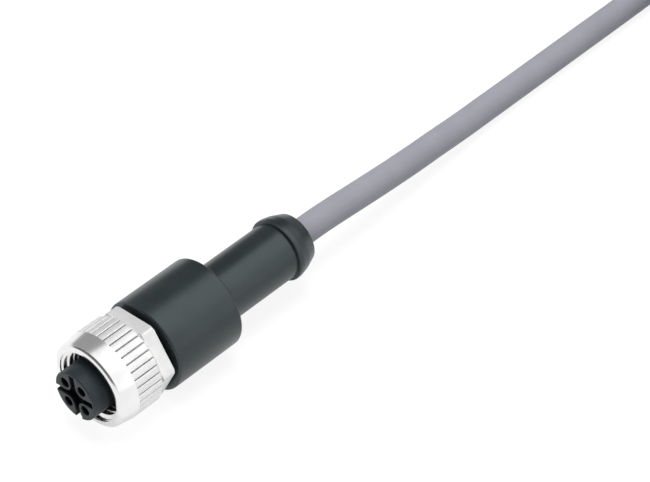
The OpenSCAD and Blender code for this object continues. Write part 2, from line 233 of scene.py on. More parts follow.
class Finish(Graph):
    """A material with one Principled shader."""

    def __init__(self, name):
        self.material = bpy.data.materials.new(name)
        self.material.use_nodes = True
        super().__init__(self.material.node_tree)

    def place(self):
        """Place on the piece, in millimetres."""
        point = self.node("ShaderNodeTexCoord", output="Object")
        return self.scaled(point, 1 / MM)

    def scaled(self, vector, factor):
        return self.node("ShaderNodeVectorMath", {"operation": "SCALE"}, {0: vector, "Scale": factor})

    def noise(self, vector, scale, detail=2.0):
        """Soft noise from about 0.2 to 0.8, with so many bumps to a unit of the vector."""
        return self.node("ShaderNodeTexNoise", inputs={"Vector": vector, "Scale": scale, "Detail": detail})

    def mask(self, value, low, high):
        """0 below low and 1 above high."""
        inputs = {"Value": value, "From Min": low, "From Max": high}
        return self.node("ShaderNodeMapRange", {"interpolation_type": "SMOOTHSTEP"}, inputs)

    def blend(self, share, first, second):
        """A colour between two."""
        colours = {6: first, 7: second}
        return self.node("ShaderNodeMix", {"data_type": "RGBA"}, {0: share, **colours}, output=2)

    def patched(self, noise, first, second, edges=PATCH_EDGES):
        """The first colour in a noise's hollows and the second on its hills."""
        return self.blend(self.mask(noise, *edges), first, second)

    def done(self, sockets, height=None, depth=0.0):
        """Ends the material. height is a bump of that depth in millimetres."""
        if height is not None:
            bump = {"Height": height, "Distance": depth * MM}
            sockets = {**sockets, "Normal": self.node("ShaderNodeBump", inputs=bump)}
        shader = self.node("ShaderNodeBsdfPrincipled", inputs=sockets)
        self.node("ShaderNodeOutputMaterial", inputs={"Surface": shader})
        return self.material


def colour(red, green, blue):
    return (red, green, blue, 1)


JACKET_DARK = colour(0.335, 0.335, 0.385)
JACKET_LIGHT = colour(0.37, 0.37, 0.42)
JACKET_EDGES = (0.3, 0.7)
JACKET_PATCH_SHARE = 0.7
JACKET_ROUGH = 0.5
JACKET_LINE_ROUGH = 0.12
JACKET_SHINE = 0.15
# How fine the extruder's lines are across and along, to a radius on a tube and to a millimetre elsewhere
TUBE_LINES = (9, 0.12)
AXIS_LINES = (4, 0.05)


def jacket_finish(name, lay):
    """Matt grey plastic with the faint lengthwise lines of the extruder. lay makes the lines' own vector."""
    finish = Finish(name)
    drawn = finish.noise(lay(finish), scale=1.0, detail=3.0)
    patches = finish.noise(finish.place(), scale=0.16)
    uneven = JACKET_PATCH_SHARE * patches + (1 - JACKET_PATCH_SHARE) * drawn
    sockets = {
        "Base Color": finish.patched(uneven, JACKET_DARK, JACKET_LIGHT, JACKET_EDGES),
        "Roughness": JACKET_ROUGH + JACKET_LINE_ROUGH * drawn, "Specular IOR Level": JACKET_SHINE,
    }
    return finish.done(sockets, height=drawn, depth=0.02)


def along_tube(finish):
    """Lengthwise lines on a tube, from its own attribute."""
    around = finish.node("ShaderNodeAttribute", {"attribute_name": "lay"}, output="Vector")
    x, y, z = finish.split(around)
    across, along = TUBE_LINES
    return finish.joined(x * across, y * across, z * along)


def along_axis(finish):
    """Lengthwise lines on a straight piece that lies along the connector's axis."""
    x, y, z = finish.split(finish.place())
    across, along = AXIS_LINES
    return finish.joined(x * across, y * along, z * across)


# Points nearer together than this are one point
WELD_REACH = 0.0002 * MM


def settled(name, mesh, material, edge=35, weld=False):
    """Turns a mesh's faces outward, smooths it up to edges sharper than that, and puts it in the scene."""
    shape = bmesh.new()
    shape.from_mesh(mesh)
    if weld:
        bmesh.ops.remove_doubles(shape, verts=shape.verts, dist=WELD_REACH)
    bmesh.ops.recalc_face_normals(shape, faces=shape.faces)
    shape.to_mesh(mesh)
    shape.free()
    mesh.polygons.foreach_set("use_smooth", [True] * len(mesh.polygons))
    mesh.set_sharp_from_angle(angle=radians(edge))
    mesh.materials.clear()
    mesh.materials.append(material)
    piece = bpy.data.objects.new(name, mesh)
    scene.collection.objects.link(piece)
    return piece


def skinned(name, rings, material, closed=False, edge=35):
    """A piece whose skin runs over rings of points. It closes on its first ring or gets two flat ends."""
    count, sides = len(rings), len(rings[0])
    faces = []
    for i in range(count if closed else count - 1):
        here, there = i * sides, (i + 1) % count * sides
        for k in range(sides):
            after = (k + 1) % sides
            faces.append((here + k, here + after, there + after, there + k))
    if not closed:
        faces += [tuple(range(sides)), tuple(range((count - 1) * sides, count * sides))]
    mesh = bpy.data.meshes.new(name)
    mesh.from_pydata([p for ring in rings for p in ring], [], faces)
    return settled(name, mesh, material, edge)


def tube(name, line, radius, material, sides=24):
    """A round bar along a line of points. Its lay attribute is the place round the bar and along it."""
    rings, lay, reach = [], [], 0
    for i, point in enumerate(line):
        ahead = line[min(i + 1, len(line) - 1)]
        behind = line[max(i - 1, 0)]
        forward = (ahead - behind).normalized()
        side = forward.cross(Vector((0, 0, 1))).normalized()
        up = side.cross(forward)
        reach += (point - line[i - 1]).length if i else 0
        angles = [tau * k / sides for k in range(sides)]
        rings.append([point + radius * (cos(a) * side + sin(a) * up) for a in angles])
        lay += [(cos(a), sin(a), reach / radius) for a in angles]
    piece = skinned(name, rings, material)
    data = piece.data.attributes.new("lay", "FLOAT_VECTOR", "POINT")
    data.data.foreach_set("vector", [number for triple in lay for number in triple])
    return piece


cable = tube("cable", cable_line, CABLE_R, jacket_finish("jacket_grey", along_tube))
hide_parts("cable_run", "cable_hank", "cable_end")
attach(cable, "connector")

# ---- Stripped end ----
# Four cores of stranded copper in coloured insulation, 24 mm long. They leave the jacket's end as a bundle,
# lie down on the hank and end in a few millimetres of bare strands.

CORE_R = 0.6 * MM
STRAND_R = 0.12 * MM
STRAND_SIDES = 10
OUTER_STRANDS = 6
# Length over which the outer strands go once round the middle one
STRAND_LAY_LEN = 5 * MM
CORE_RING_R = 0.9 * MM
CORE_PITCH = 2 * CORE_R + 0.1 * MM
LEAD_LEN = 24 * MM
TIP_LEN = 5 * MM
# Length over which the cores settle from the jacket's middle on the hank
SETTLE_LEN = 9 * MM
LEAD_STEPS = 30
LEAD_SIDES = 16
TIP_STEPS = 20

CORE_COLOURS = {
    "brown": colour(0.17, 0.07, 0.035),
    "white": colour(0.82, 0.82, 0.79),
    "blue": colour(0.035, 0.13, 0.46),
    "black": colour(0.018, 0.018, 0.02),
}
# How much of its light a core keeps in its darker patches
CORE_SHADE = 0.86
CORE_ROUGH = 0.26
CORE_SPOT_ROUGH = 0.14
COPPER_BRIGHT = colour(0.78, 0.44, 0.29)
COPPER_TARNISHED = colour(0.6, 0.3, 0.18)
COPPER_EDGES = (0.4, 0.65)
COPPER_ROUGH = 0.25
COPPER_SPOT_ROUGH = 0.2


def core_finish(name, base):
    """Smooth, slightly glossy wire insulation."""
    finish = Finish(name)
    spots = finish.noise(finish.place(), scale=1.4, detail=3.0)
    darker = colour(*(CORE_SHADE * part for part in base[:3]))
    tone, rough = finish.patched(spots, base, darker), CORE_ROUGH + CORE_SPOT_ROUGH * spots
    sockets = {"Base Color": tone, "Roughness": rough}
    return finish.done(sockets, height=spots, depth=0.02)


def copper_finish():
    """Bare annealed copper, a little darker where it has begun to tarnish."""
    finish = Finish("bare_copper")
    spots = finish.noise(finish.place(), scale=2.5, detail=3.0)
    sockets = {
        "Base Color": finish.patched(spots, COPPER_BRIGHT, COPPER_TARNISHED, COPPER_EDGES),
        "Metallic": 1.0, "Roughness": COPPER_ROUGH + COPPER_SPOT_ROUGH * spots,
    }
    return finish.done(sockets, height=spots, depth=0.01)


class Growth(Graph):
    """A Geometry Nodes tree with named inputs, which ends in one mesh of one material."""

    def __init__(self, name, inputs):
        tree = bpy.data.node_groups.new(name, "GeometryNodeTree")
        super().__init__(tree)
        tree.interface.new_socket("Geometry", in_out="INPUT", socket_type="NodeSocketGeometry")
        kinds = {float: "NodeSocketFloat", int: "NodeSocketInt"}
        self.sockets = {}
        for key, value in inputs.items():
            made = tree.interface.new_socket(key, in_out="INPUT", socket_type=kinds[type(value)])
            self.sockets[key] = (made.identifier, value)
        tree.interface.new_socket("Geometry", in_out="OUTPUT", socket_type="NodeSocketGeometry")
        self.start = self.node("NodeGroupInput").socket.node

    def value(self, key):
        return Link(self, self.start.outputs[key])

    def grown(self, name, shape, material, source=None, edge=35, weld=False):
        """Ends the tree with that geometry, and returns the plain mesh that it makes, as a piece."""
        real = self.node("GeometryNodeRealizeInstances", inputs={"Geometry": shape})
        inputs = {"Geometry": real, "Material": material}
        dressed = self.node("GeometryNodeSetMaterial", inputs=inputs)
        self.node("NodeGroupOutput", inputs={"Geometry": dressed})
        holder = bpy.data.objects.new(name + "_holder", source or bpy.data.meshes.new(name + "_seed"))
        scene.collection.objects.link(holder)
        modifier = holder.modifiers.new("growth", "NODES")
        modifier.node_group = self.tree
        for identifier, value in self.sockets.values():
            modifier[identifier] = value
        seen = holder.evaluated_get(bpy.context.evaluated_depsgraph_get())
        mesh = bpy.data.meshes.new_from_object(seen)
        mesh.name = name
        holder.modifiers.remove(modifier)
        bpy.data.objects.remove(holder)
        return settled(name, mesh, material, edge, weld)


def stranded(name, line, material):
    """Seven strands laid round each other along a line: one in the middle and six round it."""
    path = bpy.data.curves.new(name + "_line", "CURVE")
    path.dimensions = "3D"
    spline = path.splines.new("POLY")
    spline.points.add(len(line) - 1)
    spline.points.foreach_set("co", [number for point in line for number in (*point, 1)])
    inputs = {"Strand radius": STRAND_R, "Outer strands": OUTER_STRANDS, "Lay length": STRAND_LAY_LEN}
    growth = Growth(name + "_strands", inputs)
    strand_r = growth.value("Strand radius")
    ring = {"Vertices": growth.value("Outer strands"), "Radius": 2 * strand_r}
    places = growth.node("GeometryNodeMeshCircle", inputs=ring)
    middle = growth.node("GeometryNodeMeshLine", inputs={"Count": 1})
    join = growth.tree.nodes.new("GeometryNodeJoinGeometry")
    for part in (places, middle):
        growth.tree.links.new(part.socket, join.inputs[0])
    round_bar = {"Resolution": STRAND_SIDES, "Radius": strand_r}
    section = growth.node("GeometryNodeCurvePrimitiveCircle", inputs=round_bar)
    spread = {"Points": Link(growth, join.outputs[0]), "Instance": section}
    bundle = growth.node("GeometryNodeInstanceOnPoints", inputs=spread)
    bundle = growth.node("GeometryNodeRealizeInstances", inputs={"Geometry": bundle})
    reach = growth.node("GeometryNodeSplineParameter", output="Length")
    twist = {"Curve": growth.value("Geometry"), "Tilt": reach / growth.value("Lay length") * tau}
    twisted = growth.node("GeometryNodeSetCurveTilt", inputs=twist)
    swept = {"Curve": twisted, "Profile Curve": bundle, "Fill Caps": True}
    return growth.grown(name, growth.node("GeometryNodeCurveToMesh", inputs=swept), material, path)


copper = copper_finish()
insulation = {name: core_finish("insulation_" + name, base) for name, base in CORE_COLOURS.items()}
step_z = row_z(HANK_ROWS - 1) - CABLE_R
bare_start = LEAD_LEN - TIP_LEN
for i, name in enumerate(CORE_COLOURS):
    across, layer = (i % 2 - 0.5) * 2, i // 2
    core_x, lead_x = across * CORE_RING_R / sqrt(2), across * CORE_PITCH / 2
    core_z = (2 * layer - 1) * CORE_RING_R / sqrt(2)
    lead_z = step_z + CORE_R + layer * CORE_PITCH - tail_end.z

    def lead_point(reach):
        share = eased(reach / SETTLE_LEN)
        return tail_end + Vector((mixed(core_x, lead_x, share), reach, mixed(core_z, lead_z, share)))

    lead_line = [lead_point(bare_start * k / LEAD_STEPS) for k in range(LEAD_STEPS + 1)]
    tip_start, tip_reach = bare_start - CORE_R, TIP_LEN + CORE_R
    tip_line = [lead_point(tip_start + tip_reach * k / TIP_STEPS) for k in range(TIP_STEPS + 1)]
    lead = tube("lead_wire_" + name, lead_line, CORE_R, insulation[name], LEAD_SIDES)
    tip = stranded("bare_tip_" + name, tip_line, copper)
    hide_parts("lead_" + name)
    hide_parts("tip_" + name)
    "core_" + name
    for piece in (lead, tip):
        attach(piece, "connector")

# ---- Tie ----
# One length of plastic-coated wire, wound side by side round the hank. One end crosses over the windings to
# the other, and the two are twisted together on top.

TIE_R = 0.3 * MM
TIE_LOOPS = 6
TIE_PITCH = 2.1 * TIE_R
TIE_SIDES = 10
TIE_CORNER_R = 2.2 * MM
TIE_CORNER_STEPS = 6
# Reach of the crossing wire and start of the twist, as shares of the windings' half width
CROSSING_REACH = 0.8
CROSSING_END = 1.1
TWIST_START = 1.3
TWIST_LEN = 6 * MM
TWIST_TURNS = 3
TWIST_STEPS = 48

tie_low, tie_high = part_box("hank_tie")
tie_y = (tie_low.y + tie_high.y) / 2


def at_tie(across, along, z):
    """Point at the tie: across the hank from its middle, and along it from the tie's own."""
    return Vector((hank_middle.x + across, tie_y + along, z))


def tie_line():
    """Line of the tie's wire, from one free end to the other."""
    side, twist_x = hank_r + TIE_R, column_r(0)
    low, high = hank_low.z + TIE_R, hank_high.z + TIE_R
    loop = []
    for x, z, start in ((-side, high, 90), (-side, low, 180), (side, low, 270), (side, high, 0)):
        x += TIE_CORNER_R if x < 0 else -TIE_CORNER_R
        z += TIE_CORNER_R if z == low else -TIE_CORNER_R
        angles = [radians(start + 90 * k / TIE_CORNER_STEPS) for k in range(TIE_CORNER_STEPS + 1)]
        loop += [(x + TIE_CORNER_R * cos(a), z + TIE_CORNER_R * sin(a)) for a in angles]
    half = TIE_PITCH * TIE_LOOPS / 2
    windings = []
    for k in range(TIE_LOOPS * len(loop)):
        x, z = loop[k % len(loop)]
        windings.append(at_tie(x, half - TIE_PITCH * k / len(loop), z))
    over = high + 2 * TIE_R
    crossing = [
        at_tie(twist_x, -half, high), at_tie(twist_x, -CROSSING_REACH * half, over),
        at_tie(twist_x, CROSSING_REACH * half, over), at_tie(twist_x, CROSSING_END * half, over)
    ]

    def strand(phase):
        line = []
        for k in range(TWIST_STEPS + 1):
            a = phase + tau * TWIST_TURNS * k / TWIST_STEPS
            along = TWIST_START * half + TWIST_LEN * k / TWIST_STEPS
            line.append(at_tie(twist_x + TIE_R * cos(a), along, high + TIE_R + TIE_R * sin(a)))
        return line

    return strand(pi)[::-1] + [at_tie(twist_x, half, high)] + windings + crossing + strand(0)


BLACK = colour(0.02, 0.02, 0.021)
WORN_BLACK = colour(0.03, 0.03, 0.031)
WHITE = colour(1, 1, 1)
# How far the roughness of moulded plastic goes up and down with its grain, in all
GRAIN_ROUGHNESS = 0.12


def moulded(name, dark, light, rough, grain=7.0, depth=0.012, gloss=0.5, tint=WHITE):
    """Moulded plastic or rubber: two close tones in soft patches, and the fine grain of the mould."""
    finish = Finish(name)
    patches = finish.noise(finish.place(), scale=0.35, detail=3.0)
    fine = finish.noise(finish.place(), scale=grain)
    sockets = {
        "Base Color": finish.patched(patches, dark, light),
        "Roughness": rough - GRAIN_ROUGHNESS / 2 + GRAIN_ROUGHNESS * fine,
        "Specular IOR Level": gloss, "Specular Tint": tint,
    }
    return finish.done(sockets, height=fine, depth=depth)


tie_black = moulded("tie_coating", BLACK, WORN_BLACK, rough=0.38)
tie = tube("hank_wire_tie", tie_line(), TIE_R, tie_black, TIE_SIDES)
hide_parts("hank_tie")
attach(tie, "connector")

# ---- Cable inside the grip ----
# The jacket ends in the inner mould, and from there the four cores fan out to the contacts, where their bare
# conductors are crimped in the barrels.


def dressed(node, material):
    """Gives a solid its material."""
    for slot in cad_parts[node].material_slots:
        slot.material = material


dressed("cable_jacket", jacket_finish("jacket_grey_inside", along_axis))
for name, finish in insulation.items():
    dressed("core_" + name, finish)
    dressed("wire_" + name, copper)

# ---- Contacts ----
# Four sockets turned from brass rod and plated with gold, each slotted into two tines, with a collar that
# locks it in the carrier and a crimp barrel behind.

CONTACTS = 4
GOLD_BRIGHT = colour(0.88, 0.66, 0.31)
GOLD_DULL = colour(0.8, 0.57, 0.25)
GOLD_ROUGH = 0.16
GOLD_DULL_ROUGH = 0.16
# How fine the turning marks are across and along a contact, to a millimetre
GOLD_MARKS = (0.5, 9)


def gold_finish():
    """Gold plate over fine turning marks, a little duller in patches."""
    finish = Finish("gold_plate")
    x, y, z = finish.split(finish.place())
    across, along = GOLD_MARKS
    marks = finish.noise(finish.joined(x * across, y * along, z * across), scale=1.0, detail=3.0)
    dull = finish.noise(finish.place(), scale=0.9)
    sockets = {
        "Base Color": finish.patched(dull, GOLD_BRIGHT, GOLD_DULL),
        "Metallic": 1.0, "Roughness": GOLD_ROUGH + GOLD_DULL_ROUGH * dull,
    }
    return finish.done(sockets, height=marks, depth=0.004)


gold = gold_finish()
for number in range(1, CONTACTS + 1):
    dressed(f"contact_{number}", gold)

# ---- Contact carrier ----
# Moulded in one piece from black glass-filled plastic: a keyed nose with four lobes round the contacts and a
# flange that the nut pulls on. The mould leaves every outer edge slightly rounded.

CARRIER_EDGE_R = 0.11 * MM
CARRIER_EDGE_STEPS = 3
# Inside this radius, what lies behind the nose's face is a recess or a hole
NOSE_WALL_R = 4.0 * MM
SAME_POINT = 0.0005 * MM


def softened(name, node, radius, material, sharp=25):
    """A copy of a solid with its outer edges rounded, where two faces meet at more than that many degrees.

    Its edge attribute is 1 on the rounded edges and 0 elsewhere.
    """
    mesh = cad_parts[node].data.copy()
    mesh.name = name
    shape = bmesh.new()
    shape.from_mesh(mesh)
    bmesh.ops.remove_doubles(shape, verts=shape.verts, dist=SAME_POINT)
    bmesh.ops.dissolve_limit(shape, angle_limit=radians(1), verts=shape.verts, edges=shape.edges)
    edge_share = shape.faces.layers.float.new("edge")
    edges = [e for e in shape.edges if e.is_manifold and e.is_convex and e.calc_face_angle() > radians(sharp)]
    edges = {"geom": edges, "affect": "EDGES", "clamp_overlap": True}
    rounded_faces = bmesh.ops.bevel(
        shape, offset=radius, segments=CARRIER_EDGE_STEPS, profile=0.5, **edges
    )["faces"]
    for face in rounded_faces:
        face[edge_share] = 1.0
    bmesh.ops.triangulate(shape, faces=[f for f in shape.faces if len(f.verts) > 4])
    shape.to_mesh(mesh)
    shape.free()
    return settled(name, mesh, material, edge=30)


CARRIER_BLACK = colour(0.014, 0.024, 0.029)
CARRIER_GREY = colour(0.018, 0.028, 0.033)
# Painted shade for the recess and the holes
CARRIER_RECESS_SHADE = colour(0.003, 0.004, 0.004)
# Painted highlight: the rounded edges get a much lighter colour, so that they show as bright lines
CARRIER_EDGE_HIGHLIGHT = colour(0.16, 0.175, 0.18)
CARRIER_ROUGH = 0.6
CARRIER_SHINE = 0.1
CARRIER_POLISH = 0.6
CARRIER_POLISH_ROUGH = 0.4
# Millimetres behind the face where the recess's painted shade begins and is whole, and its fade at the nose's
# wall
RECESS_START, RECESS_DEEP, RECESS_FADE = 0.1, 0.3, 0.1


def carrier_finish():
    """Black plastic, glossy where the mould was polished, matt and with painted shade in the recess and
    holes, and with painted highlights on its rounded edges.
    """
    finish = Finish("carrier_black")
    x, y, z = finish.split(finish.place())
    r = (x * x + z * z) ** 0.5
    fine = finish.noise(finish.place(), scale=5.0)
    face_y, wall_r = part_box("contact_carrier")[0].y / MM, NOSE_WALL_R / MM
    behind_face = finish.mask(y, low=face_y + RECESS_START, high=face_y + RECESS_DEEP)
    shaded_recess = behind_face * finish.mask(r * -1, low=-wall_r - RECESS_FADE, high=-wall_r)
    edge = finish.node("ShaderNodeAttribute", {"attribute_name": "edge"}, output="Fac")
    tone = finish.patched(fine, CARRIER_BLACK, CARRIER_GREY)
    # Painted highlight: the rounded edges get a much lighter colour
    tone = finish.blend(edge, tone, CARRIER_EDGE_HIGHLIGHT)
    sockets = {
        # Painted shade: the recess and the holes get a near-black colour
        "Base Color": finish.blend(shaded_recess, tone, CARRIER_RECESS_SHADE), "Roughness": CARRIER_ROUGH,
        "Specular IOR Level": CARRIER_SHINE, "Coat Weight": CARRIER_POLISH * (1 - shaded_recess),
        "Coat Roughness": CARRIER_POLISH_ROUGH,
    }
    return finish.done(sockets, height=fine, depth=0.01)


carrier_black = carrier_finish()
carrier = softened("contact_insert", "contact_carrier", CARRIER_EDGE_R, carrier_black)
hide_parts("contact_carrier")
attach(carrier, "connector")

# ---- Sealing ring ----
# A moulded rubber ring, stretched over the nose into the groove at its foot. It seals against the face of
# the other half when the nut is tight.

RUBBER_DARK = colour(0.012, 0.012, 0.012)
RUBBER_LIGHT = colour(0.02, 0.02, 0.02)
dressed("sealing_ring", moulded("seal_black", RUBBER_DARK, RUBBER_LIGHT, rough=0.5, grain=9.0, depth=0.006))

# ---- Coupling nut ----
# Turned from brass bar and nickel plated: a smooth front band, a rim of square ribs with round rear ends, a
# hexagon for a spanner behind them, and an M12x1 thread inside. It turns freely on the carrier's shank.

NUT_SIDES = 360
# The profile of the front: face, lip, chamfer and band, with the radius of each turned edge
NUT_RIM_R = 7.17 * MM
NUT_FACE_R = 6.45 * MM
NUT_FACE_EDGE_R = 0.2 * MM
NUT_LIP_R = 6.86 * MM
NUT_LIP_SLOPE = 0.15 * MM
NUT_CHAMFER = 0.25 * MM
NUT_BAND_R = 7.58 * MM
NUT_BAND_LEN = 3.3 * MM
FINE_EDGE_R = 0.06 * MM
# Ribs start a little inside the band, and stand on the ground
RIBS = 36
RIB_W = 1.14 * MM
RIB_EDGE_R = 0.16 * MM
RIB_EDGE_STEPS = 3
RIB_END = 7.9 * MM
RIB_SUNK = 0.03 * MM
RIB_LEN = RIB_END - NUT_BAND_LEN + RIB_SUNK
RIB_TOP_R = 7.56 * MM
RIB_TURN = 2.5
RIB_STEPS = 6
RIB_GROUND_R = 7.26 * MM
# Painted shade: the plating gets a darker grey in the grooves between the ribs, below this radius
GROOVE_R = 7.42 * MM
GROOVE_END = 8.0 * MM
HEX_LEN = 2.3 * MM
HEX_FLAT_R = 6.65 * MM
HEX_CORNER_R = 7.6 * MM
HEX_CHAMFER = 0.12 * MM
# The hexagon's flat starts this far inside its radius, and its front face leans back this much
HEX_FOOT = 0.02 * MM
HEX_LEAN = 0.01 * MM
HEX_TURN = 5
COLLAR_R = 4.95 * MM
COLLAR_T = 1.3 * MM
CAVITY_R = 6.05 * MM
THREAD_ROOT_R = 6.0 * MM
THREAD_CREST_R = 5.46 * MM
THREAD_PITCH = 1.0 * MM
ROOT_WIDTH = 0.875 * MM
CREST_WIDTH = 0.25 * MM
THREAD_START = 0.15 * MM
THREAD_END = 6.9 * MM
THREAD_FADE = 0.6 * MM
THREAD_STEPS = 96
# The thread's wall starts behind the front face and ends in a step to the cavity
THREAD_WALL_START = 0.3 * MM
THREAD_WALL_END = THREAD_END + 0.3 * MM
CAVITY_STEP = 0.1 * MM

nut_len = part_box("coupling_nut")[1].y
# A rounded corner of a profile gets a new point for each such angle that it turns through
CORNER_STEP = radians(18)


def rounded(points):
    """A profile's points, each with its own corner radius, as a line with those corners rounded."""
    line = []
    count = len(points)
    for i, (r, y, radius) in enumerate(points):
        here = Vector((r, y))
        before = Vector(points[i - 1][:2]) - here
        after = Vector(points[(i + 1) % count][:2]) - here
        if not radius:
            line.append(here)
            continue
        bend = before.angle(after)
        reach = radius / tan(bend / 2)
        start, end = here + before.normalized() * reach, here + after.normalized() * reach
        steps = max(2, round((pi - bend) / CORNER_STEP))
        for k in range(steps + 1):
            t = k / steps
            line.append((1 - t) ** 2 * start + 2 * t * (1 - t) * here + t * t * end)
    return line


def lathed(name, points, material, sides, cut=None, edge=30):
    """A closed profile turned round the connector's axis. cut limits the radius of the points it is given."""
    line = rounded(points)
    rings = []
    for k in range(sides):
        angle = tau * k / sides
        reaches = [cut(p, angle) if cut else p.x for p in line]
        rings.append([Vector((r * cos(angle), p.y, r * sin(angle))) for r, p in zip(reaches, line)])
    return skinned(name, rings, material, True, edge)


NICKEL_BRIGHT = colour(0.95, 0.95, 0.945)
NICKEL_DULL = colour(0.91, 0.91, 0.91)
# Painted shade for the grooves between the ribs
NICKEL_GROOVE_SHADE = colour(0.4, 0.4, 0.4)
# The bare plating's roughness, what its patches add, and what the satin ribs and the milled flats add
NICKEL_ROUGH = 0.13
NICKEL_PATCH_ROUGH = 0.14
SATIN_ROUGH = 0.38
MILLED_ROUGH = 0.07
# Share of the light that satin plating scatters as paint does
SATIN_SCATTER = 0.3
# How fine the lathe's marks are out from the axis and along it, and how little they change round it
TURNING_MARKS = (14, 14, 0.05)
# Millimetres over which one finish of the nut fades into the next
BAND_FADE, GROOVE_FADE, GROUND_FADE = 0.05, 0.2, (0.06, 0.04)


def nickel_finish():
    """Bright nickel over the lathe's turning marks, which run round the nut. Ribs and flats are satin.
    Painted shade greys the grooves between the ribs.
    """
    finish = Finish("nickel_plate")
    x, y, z = finish.split(finish.place())
    r = (x * x + z * z) ** 0.5
    outward, along, across = TURNING_MARKS
    marks = finish.joined(r * outward, y * along, (x + z) * across)
    marks = finish.noise(marks, scale=1.0, detail=3.0)
    patches = finish.noise(finish.place(), scale=0.5)
    base = finish.patched(patches, NICKEL_BRIGHT, NICKEL_DULL)
    band_end, groove_r, groove_end = NUT_BAND_LEN / MM, GROOVE_R / MM, GROOVE_END / MM
    outer, inner = GROUND_FADE
    behind = finish.mask(y, low=band_end - BAND_FADE, high=band_end + BAND_FADE)
    before = finish.mask(y * -1, low=-groove_end - GROOVE_FADE, high=-groove_end)
    sunk = finish.mask(r * -1, low=-groove_r - outer, high=-groove_r + inner)
    milled = finish.mask(y, low=groove_end, high=groove_end + GROOVE_FADE)
    rough = NICKEL_ROUGH + NICKEL_PATCH_ROUGH * patches + SATIN_ROUGH * behind + MILLED_ROUGH * milled
    sockets = {
        # Painted shade: the grooves between the ribs get a darker grey
        "Base Color": finish.blend(behind * before * sunk, base, NICKEL_GROOVE_SHADE),
        "Metallic": 1 - SATIN_SCATTER * behind, "Roughness": rough,
    }
    return finish.done(sockets, height=marks, depth=0.0015)


nickel = nickel_finish()
hex_front = nut_len - HEX_LEN
collar_face = nut_len - COLLAR_T
nut_profile = [
    (CAVITY_R, 0, FINE_EDGE_R), (NUT_FACE_R, 0, NUT_FACE_EDGE_R), (NUT_LIP_R, NUT_LIP_SLOPE, FINE_EDGE_R),
    (NUT_RIM_R, NUT_LIP_SLOPE + NUT_CHAMFER, FINE_EDGE_R), (NUT_BAND_R, NUT_BAND_LEN, 0),
    (RIB_GROUND_R, NUT_BAND_LEN, 0),
    (RIB_GROUND_R, hex_front, FINE_EDGE_R), (HEX_FLAT_R - HEX_FOOT, hex_front, 0),
    (HEX_CORNER_R - HEX_CHAMFER / 2, hex_front + HEX_LEAN, FINE_EDGE_R),
    (HEX_CORNER_R, hex_front + HEX_CHAMFER / 2, FINE_EDGE_R),
    (HEX_CORNER_R, nut_len - HEX_CHAMFER, FINE_EDGE_R), (HEX_CORNER_R - HEX_CHAMFER, nut_len, FINE_EDGE_R),
    (COLLAR_R, nut_len, FINE_EDGE_R), (COLLAR_R, collar_face, FINE_EDGE_R), (CAVITY_R, collar_face, 0),
    (CAVITY_R, THREAD_WALL_END + CAVITY_STEP, 0), (THREAD_ROOT_R, THREAD_WALL_END, 0),
    (THREAD_ROOT_R, THREAD_WALL_START, 0),
]


def hexagonal(point, angle):
    """The profile's radius, cut to the hexagon's flats behind its front face."""
    if point.y <= hex_front or point.x < HEX_FLAT_R:
        return point.x
    off_flat = (angle - radians(HEX_TURN)) % radians(60) - radians(30)
    return min(point.x, HEX_FLAT_R / cos(off_flat))


def ribs():
    """The nut's ribs: square bars with round rear ends, sunk in the ground that they stand on."""
    inputs = {
        "Ribs": RIBS, "Width": RIB_W, "Edge radius": RIB_EDGE_R, "Length": RIB_LEN, "Top radius": RIB_TOP_R
    }
    growth = Growth("nut_ribs", inputs)
    half, length = growth.value("Width") / 2, growth.value("Length")
    # Two rings make the front end. One ring inside the round end keeps the flat crown's normals true.
    last = RIB_STEPS + 3
    index = growth.node("GeometryNodeInputIndex")
    bend = (last - index).maths("MINIMUM", RIB_STEPS) * (pi / 2 / RIB_STEPS)
    inside = (last - index - RIB_STEPS).maths("MAXIMUM", 0) * FINE_EDGE_R
    rear = length / 2 - half * (1 - bend.maths("COSINE")) - inside
    front = index * FINE_EDGE_R - length / 2
    reach = rear + (front - rear) * index.maths("LESS_THAN", 1.5)
    line = growth.node("GeometryNodeMeshLine", inputs={"Count": last + 1})
    stretched = {"Geometry": line, "Position": growth.joined(0, reach, 0)}
    line = growth.node("GeometryNodeSetPosition", inputs=stretched)
    line = growth.node("GeometryNodeMeshToCurve", inputs={"Mesh": line})
    line = growth.node("GeometryNodeSetCurveRadius", inputs={"Curve": line, "Radius": bend.maths("SINE")})
    square = {"Width": growth.value("Width"), "Height": growth.value("Width")}
    section = growth.node("GeometryNodeCurvePrimitiveQuadrilateral", inputs=square)
    fillet = {"Curve": section, "Radius": growth.value("Edge radius"), "Count": RIB_EDGE_STEPS}
    section = growth.node("GeometryNodeFilletCurve", {"mode": "POLY"}, fillet)
    swept = {"Curve": line, "Profile Curve": section, "Fill Caps": True}
    rib = growth.node("GeometryNodeCurveToMesh", inputs=swept)
    angle = index * tau / growth.value("Ribs") + radians(RIB_TURN)
    ring_r = growth.value("Top radius") - half
    place = growth.joined(ring_r * angle.maths("COSINE"), RIB_END - RIB_LEN / 2, ring_r * angle.maths("SINE"))
    places = growth.node("GeometryNodeMeshLine", inputs={"Count": growth.value("Ribs")})
    places = growth.node("GeometryNodeSetPosition", inputs={"Geometry": places, "Position": place})
    spread = {"Points": places, "Instance": rib, "Rotation": growth.joined(0, angle * -1, 0)}
    rim = growth.node("GeometryNodeInstanceOnPoints", inputs=spread)
    return growth.grown("nut_ribs", rim, nickel, weld=True)


